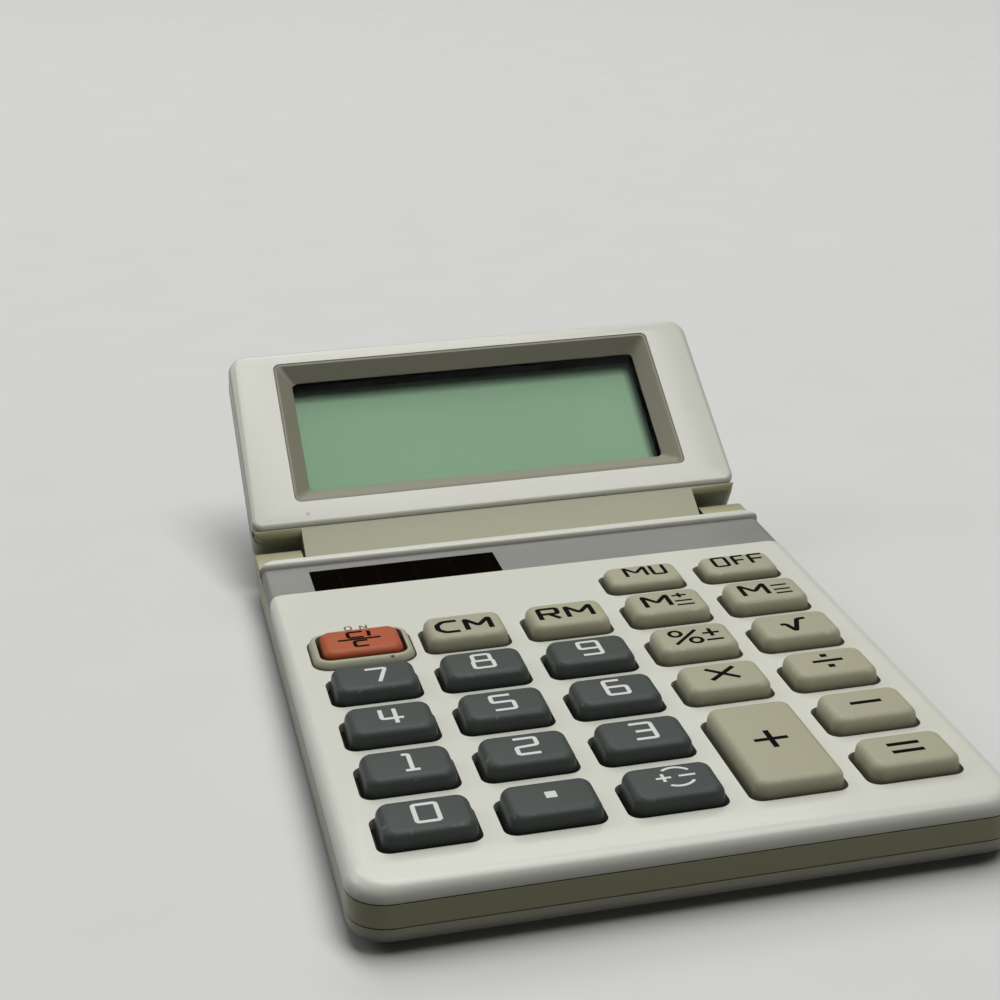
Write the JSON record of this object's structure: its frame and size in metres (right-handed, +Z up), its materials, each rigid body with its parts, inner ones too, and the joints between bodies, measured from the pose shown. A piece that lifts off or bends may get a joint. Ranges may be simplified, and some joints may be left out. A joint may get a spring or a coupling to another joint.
{
  "type": "electronic calculator",
  "caption": "Slim desk calculator with a tilting display panel, a solar strip and soft-edged keys; the keys press down and the display folds flat or stands up.",
  "frame": {"origin": "centre of the base, on the plane its feet stand on", "axes": "+X to the right of someone using it, +Y to the back where the display is, +Z up"},
  "size_m": [0.098, 0.1665, 0.038],
  "materials": {
    "cover_plastic": "fine satin texture, ivory",
    "frame_plastic": "fine satin texture, beige",
    "bottom_plastic": "fine satin texture, darker beige",
    "strip_metal": "satin lacquered sheet",
    "solar_glass": "dark cell under clear glass",
    "lead_sleeve": "soft wire sleeve",
    "key_dark": "satin, moulded",
    "key_beige": "satin, moulded",
    "key_orange": "satin, moulded",
    "mat_rubber": "silicone",
    "board_laminate": "glass laminate with green mask",
    "chip_resin": "moulded resin",
    "cell_steel": "plated steel",
    "screw_steel": "zinc plated",
    "foot_rubber": "matt rubber",
    "pin_steel": "ground steel",
    "bezel_plastic": "satin, taupe",
    "window_clear": "clear acrylic",
    "lcd_glass": "reflective grey-green cell"
  },
  "bodies": {
    "base": {"top_cover": "cover_plastic", "case_frame": "frame_plastic", "bottom_cover": "bottom_plastic", "info_strip": "strip_metal", "solar_cell": "solar_glass", "solar_leads": "lead_sleeve", "clear_key_guard": "key_beige", "key_mat": "mat_rubber", "main_board": "board_laminate", "controller_chip": "chip_resin", "button_cell": "cell_steel", "cell_clip": "cell_steel", "case_screws": "screw_steel", "board_screws": "screw_steel", "rubber_feet": "foot_rubber", "hinge_pin": "pin_steel", "hinge_tube": "pin_steel", "display_lead": "lead_sleeve"},
    "display": {"display_cover": "cover_plastic", "display_back": "frame_plastic", "window_bezel": "bezel_plastic", "display_window": "window_clear", "lcd_gasket": "mat_rubber", "lcd_panel": "lcd_glass", "lcd_connector": "mat_rubber", "display_board": "board_laminate", "lcd_lead": "lead_sleeve", "display_screws": "screw_steel"},
    "key_0_body": {"key_0": "key_dark"},
    "key_1_body": {"key_1": "key_dark"},
    "key_2_body": {"key_2": "key_dark"},
    "key_3_body": {"key_3": "key_dark"},
    "key_4_body": {"key_4": "key_dark"},
    "key_5_body": {"key_5": "key_dark"},
    "key_6_body": {"key_6": "key_dark"},
    "key_7_body": {"key_7": "key_dark"},
    "key_8_body": {"key_8": "key_dark"},
    "key_9_body": {"key_9": "key_dark"},
    "key_point_body": {"key_point": "key_dark"},
    "key_sign_body": {"key_sign": "key_dark"},
    "key_plus_body": {"key_plus": "key_beige"},
    "key_equals_body": {"key_equals": "key_beige"},
    "key_minus_body": {"key_minus": "key_beige"},
    "key_times_body": {"key_times": "key_beige"},
    "key_divide_body": {"key_divide": "key_beige"},
    "key_root_body": {"key_root": "key_beige"},
    "key_percent_body": {"key_percent": "key_beige"},
    "key_memory_plus_body": {"key_memory_plus": "key_beige"},
    "key_memory_equals_body": {"key_memory_equals": "key_beige"},
    "key_markup_body": {"key_markup": "key_beige"},
    "key_off_body": {"key_off": "key_beige"},
    "key_clear_body": {"key_clear": "key_orange"},
    "key_clear_memory_body": {"key_clear_memory": "key_beige"},
    "key_recall_memory_body": {"key_recall_memory": "key_beige"}
  },
  "joints": [
    {"name": "display_tilt", "type": "hinge", "parent": "base", "child": "display", "pos_m": [0, 0.05975, 0.0069], "axis": [1, 0, 0], "range_deg": [-34, 26]},
    {"name": "press_0", "type": "slide", "parent": "base", "child": "key_0_body", "axis": [0, 0, -1], "range_m": [0, 0.0012], "stiffness_N_per_m": 600, "deforming": ["key_mat"]},
    {"name": "press_1", "type": "slide", "parent": "base", "child": "key_1_body", "axis": [0, 0, -1], "range_m": [0, 0.0012], "stiffness_N_per_m": 600, "deforming": ["key_mat"]},
    {"name": "press_2", "type": "slide", "parent": "base", "child": "key_2_body", "axis": [0, 0, -1], "range_m": [0, 0.0012], "stiffness_N_per_m": 600, "deforming": ["key_mat"]},
    {"name": "press_3", "type": "slide", "parent": "base", "child": "key_3_body", "axis": [0, 0, -1], "range_m": [0, 0.0012], "stiffness_N_per_m": 600, "deforming": ["key_mat"]},
    {"name": "press_4", "type": "slide", "parent": "base", "child": "key_4_body", "axis": [0, 0, -1], "range_m": [0, 0.0012], "stiffness_N_per_m": 600, "deforming": ["key_mat"]},
    {"name": "press_5", "type": "slide", "parent": "base", "child": "key_5_body", "axis": [0, 0, -1], "range_m": [0, 0.0012], "stiffness_N_per_m": 600, "deforming": ["key_mat"]},
    {"name": "press_6", "type": "slide", "parent": "base", "child": "key_6_body", "axis": [0, 0, -1], "range_m": [0, 0.0012], "stiffness_N_per_m": 600, "deforming": ["key_mat"]},
    {"name": "press_7", "type": "slide", "parent": "base", "child": "key_7_body", "axis": [0, 0, -1], "range_m": [0, 0.0012], "stiffness_N_per_m": 600, "deforming": ["key_mat"]},
    {"name": "press_8", "type": "slide", "parent": "base", "child": "key_8_body", "axis": [0, 0, -1], "range_m": [0, 0.0012], "stiffness_N_per_m": 600, "deforming": ["key_mat"]},
    {"name": "press_9", "type": "slide", "parent": "base", "child": "key_9_body", "axis": [0, 0, -1], "range_m": [0, 0.0012], "stiffness_N_per_m": 600, "deforming": ["key_mat"]},
    {"name": "press_point", "type": "slide", "parent": "base", "child": "key_point_body", "axis": [0, 0, -1], "range_m": [0, 0.0012], "stiffness_N_per_m": 600, "deforming": ["key_mat"]},
    {"name": "press_sign", "type": "slide", "parent": "base", "child": "key_sign_body", "axis": [0, 0, -1], "range_m": [0, 0.0012], "stiffness_N_per_m": 600, "deforming": ["key_mat"]},
    {"name": "press_plus", "type": "slide", "parent": "base", "child": "key_plus_body", "axis": [0, 0, -1], "range_m": [0, 0.0012], "stiffness_N_per_m": 600, "deforming": ["key_mat"]},
    {"name": "press_equals", "type": "slide", "parent": "base", "child": "key_equals_body", "axis": [0, 0, -1], "range_m": [0, 0.0012], "stiffness_N_per_m": 600, "deforming": ["key_mat"]},
    {"name": "press_minus", "type": "slide", "parent": "base", "child": "key_minus_body", "axis": [0, 0, -1], "range_m": [0, 0.0012], "stiffness_N_per_m": 600, "deforming": ["key_mat"]},
    {"name": "press_times", "type": "slide", "parent": "base", "child": "key_times_body", "axis": [0, 0, -1], "range_m": [0, 0.0012], "stiffness_N_per_m": 600, "deforming": ["key_mat"]},
    {"name": "press_divide", "type": "slide", "parent": "base", "child": "key_divide_body", "axis": [0, 0, -1], "range_m": [0, 0.0012], "stiffness_N_per_m": 600, "deforming": ["key_mat"]},
    {"name": "press_root", "type": "slide", "parent": "base", "child": "key_root_body", "axis": [0, 0, -1], "range_m": [0, 0.0012], "stiffness_N_per_m": 600, "deforming": ["key_mat"]},
    {"name": "press_percent", "type": "slide", "parent": "base", "child": "key_percent_body", "axis": [0, 0, -1], "range_m": [0, 0.0012], "stiffness_N_per_m": 600, "deforming": ["key_mat"]},
    {"name": "press_memory_plus", "type": "slide", "parent": "base", "child": "key_memory_plus_body", "axis": [0, 0, -1], "range_m": [0, 0.0012], "stiffness_N_per_m": 600, "deforming": ["key_mat"]},
    {"name": "press_memory_equals", "type": "slide", "parent": "base", "child": "key_memory_equals_body", "axis": [0, 0, -1], "range_m": [0, 0.0012], "stiffness_N_per_m": 600, "deforming": ["key_mat"]},
    {"name": "press_markup", "type": "slide", "parent": "base", "child": "key_markup_body", "axis": [0, 0, -1], "range_m": [0, 0.0012], "stiffness_N_per_m": 600, "deforming": ["key_mat"]},
    {"name": "press_off", "type": "slide", "parent": "base", "child": "key_off_body", "axis": [0, 0, -1], "range_m": [0, 0.0012], "stiffness_N_per_m": 600, "deforming": ["key_mat"]},
    {"name": "press_clear", "type": "slide", "parent": "base", "child": "key_clear_body", "axis": [0, 0, -1], "range_m": [0, 0.0012], "stiffness_N_per_m": 600, "deforming": ["key_mat"]},
    {"name": "press_clear_memory", "type": "slide", "parent": "base", "child": "key_clear_memory_body", "axis": [0, 0, -1], "range_m": [0, 0.0012], "stiffness_N_per_m": 600, "deforming": ["key_mat"]},
    {"name": "press_recall_memory", "type": "slide", "parent": "base", "child": "key_recall_memory_body", "axis": [0, 0, -1], "range_m": [0, 0.0012], "stiffness_N_per_m": 600, "deforming": ["key_mat"]}
  ]
}
